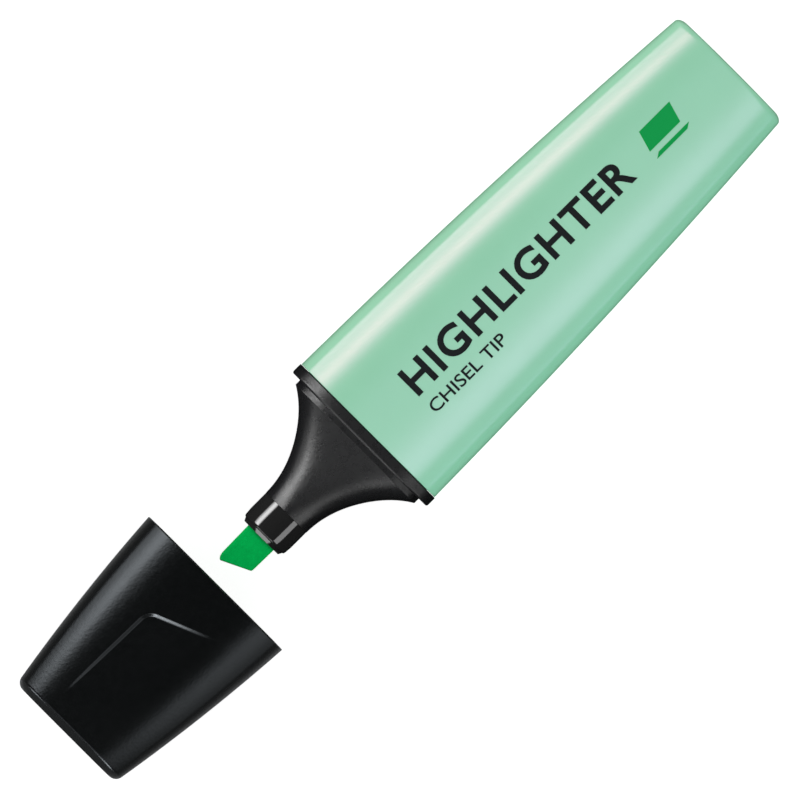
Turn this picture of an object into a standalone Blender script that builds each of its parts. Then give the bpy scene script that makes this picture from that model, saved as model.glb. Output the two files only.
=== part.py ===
"""A chisel-tip highlighter lying on its wide face, with its cap pulled off along its axis.

Frame: metres, +Z up. The pen's axis runs along X. The nib and the cap point to -X and the
closed tail of the barrel to +X. The origin is under the middle of the object, on the surface
that the object lies on. Sizes below are in millimetres, and MM turns them into metres.

Most pieces are lofts: rings of points in planes across the axis, each ring a rounded
rectangle given by its station. A shell is one chain of rings that runs along the outside,
round the edge and back along the inside.
"""

import math
from collections import namedtuple

import bmesh
import bpy
from mathutils import Matrix, Vector

MM = 0.001

# Driving dimensions of the whole pen.
BARREL_LENGTH = 73.18
COLLAR_WIDTH = 27.05
COLLAR_THICK = 17.0
CAP_LENGTH = 30.11
NIB_REACH = 26.17  # from the collar's front face to the nib's tip
CAP_GAP_AT_REST = 2.8  # from the nib's tip to the mouth of the cap lying in front of it
AXIS_HEIGHT = COLLAR_THICK / 2
SEAM = 0.3  # clearance between pieces that meet

# Places along the axis, from the tail forwards.
COLLAR_DEPTH = 1.71
OVERALL = BARREL_LENGTH + COLLAR_DEPTH + NIB_REACH + CAP_GAP_AT_REST + CAP_LENGTH
TAIL_X = OVERALL / 2
BARREL_FRONT_X = TAIL_X - BARREL_LENGTH
COLLAR_FRONT_X = BARREL_FRONT_X - COLLAR_DEPTH
NIB_TIP_X = COLLAR_FRONT_X - NIB_REACH
CAP_MOUTH_X = NIB_TIP_X - CAP_GAP_AT_REST

# Barrel: an open-mouthed shell that narrows towards a closed tail.
BARREL_WALL = 1.2
TAIL_WALL = 1.6
TAIL_EDGE = (1.4, 0.5)  # rounding of the tail as seen from above, and across the thickness
BARREL_HALF_WIDTH = (13.385, 0.01017, 0.0004334)  # at the mouth, then linear and square drop
BARREL_HALF_THICK = (8.35, 0.0105, 0.0002000)
BARREL_CORNER = (5.7, 0.0100, 0.0)
RIB_THICK = 1.0
RIB_START = 13.0  # from the barrel's mouth, clear of the skirt
WIDE_RIB_Y = 4.6

# Cap: the same kind of shell, open at its mouth.
CAP_WALL = 1.2
CAP_END_WALL = 1.5
CAP_EDGE = (1.1, 1.1)
CAP_HALF_WIDTH = (13.42, 0.0646, 0.001739)
CAP_HALF_THICK = (8.4, 0.0430, 0.001100)
CAP_CORNER = (5.8, 0.0350, 0.0)
CAP_THICKER = 0.8  # the wide walls are this much thicker behind the thumb marks
SNAP_BEAD = 0.14
THUMB_CORNER = (9.75, 3.85)  # distance from the mouth, and Y
THUMB_BACK = (26.65, 4.25)
THUMB_SIDE = (6.15, -4.9)
THUMB_DEPTH = 0.45
THUMB_ROUND = 1.2

# Front section: skirt inside the barrel, collar, snap rim, funnel and neck.
SECTION_WALL = 1.0
SKIRT_LENGTH = 12.0
SKIRT_LEAD = 0.5  # the skirt narrows by this much at its open end
SKIRT_BEAD = 0.12
RIM_DEPTH = 0.93
RIM_INSET = 1.575
COLLAR_CORNER = 5.85
COLLAR_EDGE = 0.35  # rounding of its front edge
RIM_CORNER = 4.9
NECK_RADIUS = 4.06
NECK_REACH = 14.73  # from the collar's front face to the front of the neck
NECK_X = COLLAR_FRONT_X - NECK_REACH
FUNNEL_LENGTH = COLLAR_FRONT_X - RIM_DEPTH - NECK_X
FUNNEL_SQUARE, FUNNEL_FLARE = 0.887, 0.113  # shares of u**2 and of u**10 in its curve

# Nozzle: a sleeve in front of the neck, with a spigot that plugs into it.
NOZZLE_RADIUS = 4.02
NOZZLE_FACE_RADIUS = 3.45
NOZZLE_ROUND = 0.9
NIB_SHOWN = 6.38  # length of nib in front of the nozzle
NOZZLE_FRONT_X = NIB_TIP_X + NIB_SHOWN
SPIGOT_LENGTH = 6.0
SPIGOT = (3.45, 2.6, 1.8)  # half-width, half-thickness and corner radius
NECK_BORE = (3.6, 2.75, 1.95)
NIB_BORE = (2.78, 2.0, 0.6)

# Nib: a bonded-fibre bar with a slanted chisel edge.
NIB_WIDTH = 5.16
NIB_THICK = 3.6
NIB_LENGTH = 32.0
NIB_SLANT = math.radians(23.7)
NIB_TIP_ROUND = 0.9
NIB_HEEL_ROUND = 0.25
NIB_EDGE_THICK = 2.0
NIB_EDGE_ROUND = 0.25
NIB_WEDGE = 3.4

# Ink reservoir: a fibre block with oval ends in a film tube.
CORE_HALF_WIDTH = 8.2
CORE_HALF_THICK = 4.5
CORE_LENGTH = 60.0
CORE_START = 4.0  # behind the collar's front face
FILM_GAP = 0.1
FILM_THICK = 0.25
NIB_SOCKET = 5.0

# Inner cap: a stepped thimble that closes round the nozzle.
LINER_MOUTH = 14.7  # from the cap's mouth
LINER_WALL = 0.65
LINER_STEP = 20.6
LINER_BORE = NOZZLE_RADIUS + 0.15
LINER_TOE_BORE = 3.5

ARC_STEPS = 6
EDGE_STEPS = 3

Station = namedtuple("Station", "x half_width half_thick radius")


def material(name, colour, roughness, coat=0.0):
    """A plain Principled material in a linear colour."""
    made = bpy.data.materials.new(name)
    made.use_nodes = True
    shader = made.node_tree.nodes["Principled BSDF"]
    shader.inputs["Base Color"].default_value = (*colour, 1.0)
    shader.inputs["Roughness"].default_value = roughness
    shader.inputs["Metallic"].default_value = 0.0
    shader.inputs["Coat Weight"].default_value = coat
    made.diffuse_color = (*colour, 1.0)
    return made


def add_object(name, mesh_builder, finish):
    """Turns a bmesh in millimetres into an object on the pen's axis, in metres."""
    bmesh.ops.recalc_face_normals(mesh_builder, faces=mesh_builder.faces)
    place = Matrix.Translation((0.0, 0.0, AXIS_HEIGHT * MM)) @ Matrix.Scale(MM, 4)
    mesh_builder.transform(place)
    mesh = bpy.data.meshes.new(name)
    mesh_builder.to_mesh(mesh)
    mesh_builder.free()
    mesh.shade_smooth()
    mesh.set_sharp_from_angle(angle=math.radians(30))
    made = bpy.data.objects.new(name, mesh)
    if finish is not None:
        mesh.materials.append(finish)
    bpy.context.scene.collection.objects.link(made)
    return made


def add_cutter(name, mesh_builder):
    """A helper solid for a Boolean, drawn as wire and left out of renders."""
    made = add_object(name, mesh_builder, None)
    made.hide_render = True
    made.display_type = "WIRE"
    return made


def boolean(target, cutter, operation):
    change = target.modifiers.new(cutter.name, "BOOLEAN")
    change.operation = operation
    change.solver = "EXACT"
    change.object = cutter


def ring_points(half_width, half_thick, radius):
    """Points (y, z) round a rounded rectangle, the same number for every size."""
    points = []
    for quarter in range(4):
        turn = quarter * math.pi / 2
        side_y = 1 if quarter in (0, 3) else -1
        side_z = 1 if quarter in (0, 1) else -1
        centre_y = side_y * (half_width - radius)
        centre_z = side_z * (half_thick - radius)
        for step in range(ARC_STEPS + 1):
            angle = turn + step / ARC_STEPS * math.pi / 2
            y = centre_y + radius * math.cos(angle)
            z = centre_z + radius * math.sin(angle)
            points.append((y, z))
    return points


def loft(stations, cyclic=False):
    """A bmesh skin over a chain of stations. The ends are filled unless the chain is a loop."""
    made = bmesh.new()
    rings = []
    for station in stations:
        outline = ring_points(station.half_width, station.half_thick, station.radius)
        rings.append([made.verts.new((station.x, y, z)) for y, z in outline])
    pairs = list(zip(rings, rings[1:]))
    if cyclic:
        pairs.append((rings[-1], rings[0]))
    else:
        made.faces.new(rings[0])
        made.faces.new(rings[-1])
    count = len(rings[0])
    for first, second in pairs:
        for i in range(count):
            j = (i + 1) % count
            made.faces.new((first[i], first[j], second[j], second[i]))
    return made


def inset(station, depth, x=None):
    """The station moved inwards by a wall's thickness."""
    return Station(
        station.x if x is None else x,
        station.half_width - depth,
        station.half_thick - depth,
        max(station.radius - depth, 0.4),
    )


def curve(terms, distance):
    """A size that starts at terms[0] and drops with distance and with its square."""
    start, linear, square = terms
    return start - linear * distance - square * distance**2


def barrel_station(distance):
    """The barrel's outside at a distance behind its mouth."""
    return Station(
        BARREL_FRONT_X + distance,
        curve(BARREL_HALF_WIDTH, distance),
        curve(BARREL_HALF_THICK, distance),
        curve(BARREL_CORNER, distance),
    )


def cap_station(distance):
    """The cap's outside at a distance from its mouth."""
    return Station(
        CAP_MOUTH_X - distance,
        curve(CAP_HALF_WIDTH, distance),
        curve(CAP_HALF_THICK, distance),
        curve(CAP_CORNER, distance),
    )


def rounding(edge, from_end):
    """How far an edge rounded to a radius lies inside its corner, at a distance from the end."""
    past = max(edge - from_end, 0.0)
    return edge - math.sqrt(max(edge**2 - past**2, 0.0))


def rounded_end(station_at, length, edges):
    """Stations round the outer edge of a closed end, from the side to the flat face. The edges
    are the rounding across the width and across the thickness, the smaller one last."""
    wide, thick = edges
    places = {wide * (1 - math.sin(i / EDGE_STEPS * math.pi / 2)) for i in range(EDGE_STEPS + 1)}
    places |= {thick * (1 - math.sin(i / EDGE_STEPS * math.pi / 2)) for i in range(EDGE_STEPS + 1)}
    stations = []
    for from_end in sorted(places, reverse=True):
        side = station_at(length - from_end)
        across, up = rounding(wide, from_end), rounding(thick, from_end)
        stations.append(
            Station(side.x, side.half_width - across, side.half_thick - up, side.radius - across)
        )
    return stations


def spread(start, end, count):
    """Evenly spaced distances, both ends included."""
    return [start + (end - start) * i / (count - 1) for i in range(count)]


def prism(outline, low_z, high_z):
    """A bmesh prism over an outline of (x, y). Each of low_z and high_z is a function of x, y."""
    made = bmesh.new()
    lower = [made.verts.new((x, y, low_z(x, y))) for x, y in outline]
    upper = [made.verts.new((x, y, high_z(x, y))) for x, y in outline]
    made.faces.new(lower)
    made.faces.new(upper)
    for i in range(len(outline)):
        j = (i + 1) % len(outline)
        made.faces.new((lower[i], lower[j], upper[j], upper[i]))
    return made


def rounded_corner(before, corner, after, radius, steps=5):
    """Points of an arc that rounds off one corner of an outline."""
    before, corner, after = Vector(before), Vector(corner), Vector(after)
    to_before = (before - corner).normalized()
    to_after = (after - corner).normalized()
    half = to_before.angle(to_after) / 2
    centre = corner + (to_before + to_after).normalized() * (radius / math.sin(half))
    start = corner + to_before * (radius / math.tan(half)) - centre
    sweep = math.copysign(math.pi - 2 * half, to_before.cross(to_after))
    turns = [Matrix.Rotation(-sweep * i / steps, 2) for i in range(steps + 1)]
    return [tuple(centre + turn @ start) for turn in turns]


def make_barrel(finish):
    body_length = BARREL_LENGTH - TAIL_EDGE[0]
    outside = [barrel_station(d) for d in spread(SEAM / 2, body_length, 10)]
    outside += rounded_end(barrel_station, BARREL_LENGTH, TAIL_EDGE)[1:]
    inner_length = BARREL_LENGTH - TAIL_WALL
    inside = [inset(barrel_station(d), BARREL_WALL) for d in spread(SEAM / 2, inner_length, 9)]
    barrel = add_object("barrel", loft(outside[::-1] + inside), finish)
    for name, ribs in (("wide_wall_ribs", wide_wall_ribs()), ("side_ribs", side_ribs())):
        boolean(barrel, add_cutter(name, ribs), "UNION")


def rib_outline(half_size, rest):
    """A rib's outline (x, height): one edge inside the wall, the other along the reservoir."""
    distances = spread(RIB_START, BARREL_LENGTH - TAIL_WALL / 2, 8)
    middle = [(BARREL_FRONT_X + d, curve(half_size, d) - BARREL_WALL / 2) for d in distances]
    return middle + [(middle[-1][0], rest), (middle[0][0], rest)]


def add_rib(target, outline, centre, across):
    """Extrudes a rib's outline to its thickness. across says how to place (x, height, side)."""
    rings = []
    for side in (-RIB_THICK / 2, RIB_THICK / 2):
        ring = [target.verts.new(across(x, height, centre + side)) for x, height in outline]
        target.faces.new(ring)
        rings.append(ring)
    for i in range(len(outline)):
        j = (i + 1) % len(outline)
        target.faces.new((rings[0][i], rings[0][j], rings[1][j], rings[1][i]))


def wide_wall_ribs():
    """Two ribs on each wide wall, which hold the reservoir from above and below."""
    made = bmesh.new()
    outline = rib_outline(BARREL_HALF_THICK, CORE_HALF_THICK + FILM_GAP + FILM_THICK + SEAM)
    for way in (-1, 1):
        for centre in (-WIDE_RIB_Y, WIDE_RIB_Y):
            add_rib(made, outline, centre, lambda x, h, s, way=way: (x, s, way * h))
    return made


def side_ribs():
    """One rib on each narrow wall."""
    made = bmesh.new()
    outline = rib_outline(BARREL_HALF_WIDTH, CORE_HALF_WIDTH + FILM_GAP + FILM_THICK + SEAM)
    for way in (-1, 1):
        add_rib(made, outline, 0.0, lambda x, h, s, way=way: (x, way * h, s))
    return made


def cap_wall_extra(distance):
    """How much thicker the wide walls are at a distance from the mouth."""
    rise = min(max((distance - 2.5) / 3.0, 0.0), 1.0)
    fall = min(max((distance - 15.0) / 6.0, 0.0), 1.0)
    return CAP_THICKER * (rise - fall)


def cap_inside(distance, bead=0.0):
    wall = inset(cap_station(distance), CAP_WALL + bead)
    return wall._replace(half_thick=wall.half_thick - cap_wall_extra(distance))


def make_cap(finish):
    outside = [cap_station(d) for d in spread(0.0, CAP_LENGTH - CAP_EDGE[0], 8)]
    outside += rounded_end(cap_station, CAP_LENGTH, CAP_EDGE)[1:]
    bead = [cap_inside(0.0), cap_inside(1.2), cap_inside(1.5, SNAP_BEAD), cap_inside(1.9, SNAP_BEAD)]
    deeper = [2.3, 4.0, 5.5, 10.0, 15.0, 18.0, 21.0, CAP_LENGTH - CAP_END_WALL]
    inside = bead + [cap_inside(d) for d in deeper]
    cap = add_object("cap", loft(outside[::-1] + inside), finish)
    for way, name in ((1, "thumb_mark_above"), (-1, "thumb_mark_below")):
        boolean(cap, add_cutter(name, thumb_mark(way)), "DIFFERENCE")
    for way, name in ((1, "liner_seat_plus"), (-1, "liner_seat_minus")):
        boolean(cap, add_cutter(name, liner_seat(way)), "UNION")


def thumb_mark(way):
    """A wedge that sinks a thumb mark into one wide face: deepest at its rounded corner and
    running out to nothing along the line between its other two corners. The second mark is
    the first one turned by half a turn about the pen's axis."""
    places = (THUMB_BACK, THUMB_CORNER, THUMB_SIDE)
    back, corner, side = [(CAP_MOUTH_X - distance, way * y) for distance, y in places]
    heights = [way * curve(CAP_HALF_THICK, distance) for distance, _ in places]
    heights[1] -= way * THUMB_DEPTH
    a, b, c = (Vector((*at, height)) for at, height in zip((back, corner, side), heights))
    normal = (b - a).cross(c - a)

    def floor(x, y):
        return a.z - (normal.x * (x - a.x) + normal.y * (y - a.y)) / normal.z

    outline = [back] + rounded_corner(back, corner, side, THUMB_ROUND) + [side]
    return prism(outline, floor, lambda x, y: way * (CAP_HALF_THICK[0] + 1.0))


def liner_seat(way):
    """A fin on one narrow wall that carries the inner cap."""
    inner_y = LINER_BORE + LINER_WALL + SEAM
    back = CAP_LENGTH - CAP_END_WALL / 2
    front = LINER_MOUTH + 2.5
    outline = [(CAP_MOUTH_X - front, way * (curve(CAP_HALF_WIDTH, front) - CAP_WALL / 2))]
    outline += [(CAP_MOUTH_X - back, way * (curve(CAP_HALF_WIDTH, back) - CAP_WALL / 2))]
    outline += [(CAP_MOUTH_X - back, way * inner_y), (CAP_MOUTH_X - front, way * inner_y)]
    return prism(outline, lambda x, y: -RIB_THICK / 2, lambda x, y: RIB_THICK / 2)


def make_cap_liner(finish):
    """A thimble whose wide end closes round the nozzle and whose toe covers the nib."""
    toe_end = CAP_LENGTH - CAP_END_WALL - SEAM
    toe_outer = LINER_TOE_BORE + LINER_WALL
    outer = LINER_BORE + LINER_WALL

    def round_station(distance, radius):
        return Station(CAP_MOUTH_X - distance, radius, radius, radius - 0.02)

    stations = [
        round_station(toe_end, toe_outer - 0.4),
        round_station(toe_end - 0.4, toe_outer),
        round_station(LINER_STEP + 1.1, toe_outer),
        round_station(LINER_STEP + 0.3, outer),
        round_station(LINER_MOUTH, outer),
        round_station(LINER_MOUTH, LINER_BORE + 0.35),
        round_station(LINER_MOUTH + 0.8, LINER_BORE),
        round_station(LINER_STEP, LINER_BORE),
        round_station(LINER_STEP + 0.7, LINER_TOE_BORE),
        round_station(toe_end - LINER_WALL, LINER_TOE_BORE),
    ]
    add_object("cap_liner", loft(stations), finish)


def funnel_station(share):
    """The funnel's outside, from the round neck at share 0 to the snap rim at share 1."""
    flare = FUNNEL_SQUARE * share**2 + FUNNEL_FLARE * share**10
    rim_width = COLLAR_WIDTH / 2 - RIM_INSET
    rim_thick = COLLAR_THICK / 2 - RIM_INSET
    return Station(
        NECK_X + SEAM / 2 + share * (FUNNEL_LENGTH - SEAM / 2),
        NECK_RADIUS + (rim_width - NECK_RADIUS) * flare,
        NECK_RADIUS + (rim_thick - NECK_RADIUS) * flare,
        NECK_RADIUS - 0.04 + (RIM_CORNER - NECK_RADIUS) * share,
    )


def make_front_section(finish):
    collar = Station(COLLAR_FRONT_X, COLLAR_WIDTH / 2, COLLAR_THICK / 2, COLLAR_CORNER)
    collar_back = collar._replace(x=BARREL_FRONT_X - SEAM / 2)
    rim = funnel_station(1.0)
    skirt_fit = BARREL_WALL + SEAM
    skirt_back = BARREL_FRONT_X + SKIRT_LENGTH

    def skirt(distance, depth=0.0):
        return inset(barrel_station(distance), skirt_fit + depth)

    outside = [
        skirt(SKIRT_LENGTH, SKIRT_LEAD),
        skirt(SKIRT_LENGTH - 1.0),
        skirt(4.2),
        skirt(3.8, -SKIRT_BEAD),
        skirt(3.2, -SKIRT_BEAD),
        skirt(2.8),
        skirt(0.0)._replace(x=collar_back.x),
        collar_back,
        inset(collar, 0.0, COLLAR_FRONT_X + COLLAR_EDGE),
        inset(collar, COLLAR_EDGE),
        rim._replace(x=COLLAR_FRONT_X),
        inset(rim, 0.0, rim.x + 0.15),
    ]
    outside += [funnel_station(share) for share in spread(0.985, 0.0, 14)]
    bore = Station(NECK_X + SEAM / 2, *NECK_BORE)
    bore_back = NECK_X + SPIGOT_LENGTH + SEAM
    inside = [bore, bore._replace(x=bore_back)]
    for share in (0.62, 0.78, 0.9):
        inside.append(inset(funnel_station(share), SECTION_WALL))
    inside.append(inset(rim, SECTION_WALL, COLLAR_FRONT_X + 0.5))
    inside.append(skirt(1.0, SECTION_WALL))
    inside.append(inset(barrel_station(SKIRT_LENGTH), skirt_fit + SECTION_WALL, skirt_back))
    add_object("front_section", loft(outside + inside, cyclic=True), finish)


def make_nozzle(finish):
    """The gloss sleeve. It turns from a round outside to a bore that fits the nib."""
    shoulder_x = NECK_X - SEAM / 2

    def round_station(x, radius):
        return Station(x, radius, radius, radius - 0.02)

    stations = []
    for step in range(EDGE_STEPS + 2):
        angle = step / (EDGE_STEPS + 1) * math.pi / 2
        x = NOZZLE_FRONT_X + NOZZLE_ROUND * (1 - math.sin(angle))
        radius = NOZZLE_FACE_RADIUS + (NOZZLE_RADIUS - NOZZLE_FACE_RADIUS) * math.cos(angle)
        stations.insert(0, round_station(x, radius))
    stations.append(round_station(shoulder_x, NOZZLE_RADIUS))
    stations.append(Station(shoulder_x, *SPIGOT))
    stations.append(Station(NECK_X + SPIGOT_LENGTH, *SPIGOT))
    stations.append(Station(NECK_X + SPIGOT_LENGTH, *NIB_BORE))
    stations.append(Station(NOZZLE_FRONT_X, *NIB_BORE))
    add_object("nozzle", loft(stations, cyclic=True), finish)


def make_nib(finish):
    """A bar cut across at a slant, thinned towards its writing edge from both wide sides."""
    half = NIB_WIDTH / 2
    # Before it is rounded off, the long corner stands this far beyond the tip.
    beyond = NIB_TIP_ROUND * (1 / math.tan((math.pi / 2 - NIB_SLANT) / 2) - 1)
    long_corner = (NIB_TIP_X - beyond, half)
    short_corner = (long_corner[0] + NIB_WIDTH * math.tan(NIB_SLANT), -half)
    back_x = NIB_TIP_X + NIB_LENGTH
    back = [(back_x, -half), (back_x, half)]
    outline = back + rounded_corner(back[1], long_corner, short_corner, NIB_TIP_ROUND)
    outline += rounded_corner(long_corner, short_corner, back[0], NIB_HEEL_ROUND, 2)
    nib = prism(outline, lambda x, y: -NIB_THICK / 2, lambda x, y: NIB_THICK / 2)
    step = (NIB_THICK - NIB_EDGE_THICK) / 2
    across = Vector((math.sin(NIB_SLANT), -math.cos(NIB_SLANT), 0.0))
    along = Vector((math.cos(NIB_SLANT), math.sin(NIB_SLANT), 0.0))
    start = Vector((*long_corner, 0.0))
    for way in (-1, 1):
        edge = start + Vector((0.0, 0.0, way * NIB_EDGE_THICK / 2))
        slope = along * NIB_WEDGE + Vector((0.0, 0.0, way * step))
        normal = slope.cross(across)
        normal *= 1 if normal.z * way > 0 else -1
        everything = nib.verts[:] + nib.edges[:] + nib.faces[:]
        cut = bmesh.ops.bisect_plane(
            nib, geom=everything, plane_co=edge, plane_no=normal, clear_outer=True, dist=1e-5
        )
        rim = [e for e in cut["geom_cut"] if isinstance(e, bmesh.types.BMEdge)]
        bmesh.ops.edgenet_fill(nib, edges=rim)
    made = add_object("nib", nib, finish)
    soften = made.modifiers.new("soft_edges", "BEVEL")
    soften.width = NIB_EDGE_ROUND * MM
    soften.segments = 2
    soften.limit_method = "ANGLE"
    soften.angle_limit = math.radians(40)


def make_reservoir(core_finish, film_finish):
    """The fibre block, with a socket for the nib's tail, and the film tube round it."""
    start_x = COLLAR_FRONT_X + CORE_START
    end_x = start_x + CORE_LENGTH
    core = Station(start_x, CORE_HALF_WIDTH, CORE_HALF_THICK, CORE_HALF_THICK - 0.05)
    socket_x = NIB_TIP_X + NIB_LENGTH + SEAM
    socket = Station(start_x, NIB_WIDTH / 2 + 0.2, NIB_THICK / 2 + 0.2, 0.5)
    stations = [core._replace(x=end_x), core, socket, socket._replace(x=socket_x)]
    add_object("reservoir_core", loft(stations), core_finish)
    film_inside = inset(core, -FILM_GAP)
    film_outside = inset(core, -FILM_GAP - FILM_THICK)
    tube = [
        film_outside,
        film_outside._replace(x=end_x),
        film_inside._replace(x=end_x),
        film_inside,
    ]
    add_object("reservoir_wrap", loft(tube, cyclic=True), film_finish)


def main():
    for old in list(bpy.data.objects):
        bpy.data.objects.remove(old)
    mint = material("mint_plastic", (0.285, 0.597, 0.402), 0.35)
    satin_black = material("satin_black_plastic", (0.012, 0.013, 0.013), 0.42)
    matte_black = material("matte_black_plastic", (0.022, 0.022, 0.023), 0.58)
    gloss_black = material("gloss_black_plastic", (0.010, 0.010, 0.010), 0.12, 0.5)
    felt = material("green_felt", (0.0, 0.319, 0.058), 0.85)
    fibre = material("ink_fibre", (0.05, 0.42, 0.14), 0.9)
    film = material("clear_film", (0.75, 0.78, 0.78), 0.25)
    inner_black = material("inner_cap_plastic", (0.02, 0.02, 0.02), 0.5)
    make_barrel(mint)
    make_front_section(matte_black)
    make_nozzle(gloss_black)
    make_nib(felt)
    make_reservoir(fibre, film)
    make_cap(satin_black)
    make_cap_liner(inner_black)


main()
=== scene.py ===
"""The looks of a chisel-tip highlighter with its cap off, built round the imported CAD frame.

Each moulded piece and the nib is a fine skin over rings of points across the pen's axis. A
ring starts as a superellipse, which is a rounded rectangle with slightly crowned sides at
power 4 and an ellipse at power 2. The print is a set of thin slabs on the barrel's upper face,
and the two hidden reservoir pieces stay as CAD nodes with new materials. Sizes are in
millimetres on the pen's axis until place() puts them in the frame, in metres.
"""

import math

import bmesh
import bpy
import numpy as np
from mathutils import Matrix, Vector


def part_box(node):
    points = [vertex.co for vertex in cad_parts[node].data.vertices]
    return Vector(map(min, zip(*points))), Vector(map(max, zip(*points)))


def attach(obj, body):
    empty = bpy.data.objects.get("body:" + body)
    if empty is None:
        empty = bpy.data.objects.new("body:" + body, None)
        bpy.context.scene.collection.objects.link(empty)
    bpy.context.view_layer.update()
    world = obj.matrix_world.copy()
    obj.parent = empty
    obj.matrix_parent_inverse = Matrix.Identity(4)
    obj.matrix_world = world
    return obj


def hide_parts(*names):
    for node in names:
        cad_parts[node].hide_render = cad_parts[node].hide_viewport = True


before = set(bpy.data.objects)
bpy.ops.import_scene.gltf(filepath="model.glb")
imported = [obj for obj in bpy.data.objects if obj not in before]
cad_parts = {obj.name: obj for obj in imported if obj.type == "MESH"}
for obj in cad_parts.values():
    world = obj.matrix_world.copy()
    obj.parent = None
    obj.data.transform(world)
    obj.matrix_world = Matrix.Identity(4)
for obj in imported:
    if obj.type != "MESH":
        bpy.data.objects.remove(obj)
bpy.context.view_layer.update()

MM = 0.001

# Places along the axis come from the CAD nodes. The other sizes repeat the CAD's dimensions,
# apart from closer seams and finer roundings.
barrel_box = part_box("barrel")
section_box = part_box("front_section")
nozzle_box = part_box("nozzle")
nib_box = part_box("nib")
cap_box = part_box("cap")
liner_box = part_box("cap_liner")

AXIS_HEIGHT = (section_box[0].z + section_box[1].z) / 2 / MM
TAIL_X = barrel_box[1].x / MM
BARREL_LENGTH = 73.18
BARREL_FRONT_X = TAIL_X - BARREL_LENGTH
COLLAR_DEPTH = 1.71
COLLAR_FRONT_X = BARREL_FRONT_X - COLLAR_DEPTH
NIB_TIP_X = nib_box[0].x / MM
CAP_MOUTH_X = cap_box[1].x / MM
CAP_LENGTH = (cap_box[1].x - cap_box[0].x) / MM
NOZZLE_FRONT_X = nozzle_box[0].x / MM
NECK_REACH = 14.73  # from the collar's front face to the seam between funnel and nozzle
NECK_X = COLLAR_FRONT_X - NECK_REACH
SEAM = 0.06  # between the collar and the barrel

# Half-sizes: at the mouth, then how fast they drop with distance and with its square.
BARREL_HALF_WIDTH = (13.385, 0.01017, 0.0004334)
BARREL_HALF_THICK = (8.35, 0.0105, 0.0002)
CAP_HALF_WIDTH = (13.42, 0.0646, 0.001739)
CAP_HALF_THICK = (8.4, 0.0430, 0.0011)
COLLAR_HALF = (13.525, 8.5)
RIM_HALF = (11.95, 6.925)
RIM_DEPTH = 0.93
RIM_ROUND = 0.05
NECK_RADIUS = 4.06
NOZZLE_RADIUS = 4.02
SQUARISH = 4.0
WALL = 1.2

# Thumb mark on the cap: its three ends, each as distance from the mouth, and Y.
THUMB_CORNER = (9.65, 3.85)
THUMB_BACK = (26.55, 4.25)
THUMB_SIDE = (6.05, -4.9)
THUMB_DEPTH = 0.38  # at the corner
THUMB_ROUND = 1.2  # radius of the corner
THUMB_WALL = 0.5  # width of the step along its two edges
THUMB_FADE = 0.1  # softness of the line where its floor runs out into the face
THUMB_LEAN = (THUMB_CORNER[0] - THUMB_SIDE[0]) / (THUMB_CORNER[1] - THUMB_SIDE[1])
THUMB_RISE = (THUMB_BACK[1] - THUMB_CORNER[1]) / (THUMB_BACK[0] - THUMB_CORNER[0])


# ---------------------------------------------------------------- shapes


def drop(terms, distance):
    """A size that falls with distance and with its square."""
    start, linear, square = terms
    return start - linear * distance - square * distance**2


def ring(half_width, half_thick, power, turns):
    """Points (y, z) of a superellipse at the given turns."""
    across, up = np.cos(turns), np.sin(turns)
    y = half_width * np.sign(across) * np.abs(across) ** (2 / power)
    z = half_thick * np.sign(up) * np.abs(up) ** (2 / power)
    return np.stack([y, z], axis=1)


def even_turns(count, half_width=12.5, half_thick=7.8, power=SQUARISH, bend=0.5):
    """Turns that spread points evenly along the outline, and closer where it bends. The usual
    half-sizes are a fair mean of the barrel's, the collar's and the cap's."""
    fine = np.linspace(0, 2 * np.pi, 8001)
    points = ring(half_width, half_thick, power, fine)
    steps = np.diff(points, axis=0)
    length = np.hypot(steps[:, 0], steps[:, 1])
    heading = np.unwrap(np.arctan2(steps[:, 1], steps[:, 0]))
    turned = np.abs(np.diff(heading, append=heading[-1]))
    share = length / length.sum() + bend * turned / turned.sum()
    gone = np.concatenate([[0.0], np.cumsum(share)])
    return np.interp(np.arange(count) / count * gone[-1], gone, fine)


def add_object(name, mesh):
    made = bpy.data.objects.new(name, mesh)
    bpy.context.scene.collection.objects.link(made)
    return made


def place(points):
    """From millimetres on the pen's axis to the frame's metres."""
    return (np.asarray(points) + (0.0, 0.0, AXIS_HEIGHT)) * MM


def skin(name, rings, cyclic=False, smooth_angle=40.0, bridged=False):
    """A closed mesh over a chain of rings. A chain that isn't a loop ends in a fan at each end.
    A bridged last end is closed by strips from its upper side to its lower side instead."""
    rings = [np.asarray(r, float) for r in rings]
    count = len(rings[0])
    verts = np.concatenate(rings)
    here = np.arange(count)
    after = (here + 1) % count
    faces = []
    pairs = [(i, i + 1) for i in range(len(rings) - 1)]
    if cyclic:
        pairs.append((len(rings) - 1, 0))
    for i, j in pairs:
        quads = [i * count + here, i * count + after, j * count + after, j * count + here]
        faces += np.stack(quads, axis=1).tolist()
    if not cyclic:
        ends = (0,) if bridged else (0, len(rings) - 1)
        for i in ends:
            verts = np.concatenate([verts, rings[i].mean(axis=0, keepdims=True)])
            fan = [i * count + here, i * count + after, np.full(count, len(verts) - 1)]
            faces += np.stack(fan, axis=1).tolist()
    if bridged:
        last = (len(rings) - 1) * count
        for i in range(count // 2):
            across = [last + i, last + i + 1, last + count - i - 1, last + (count - i) % count]
            faces.append(list(dict.fromkeys(across)))
    mesh = bpy.data.meshes.new(name)
    mesh.from_pydata(place(verts).tolist(), [], faces)
    builder = bmesh.new()
    builder.from_mesh(mesh)
    bmesh.ops.recalc_face_normals(builder, faces=builder.faces)
    builder.to_mesh(mesh)
    builder.free()
    mesh.shade_smooth()
    mesh.set_sharp_from_angle(angle=math.radians(smooth_angle))
    return add_object(name, mesh)


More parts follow.
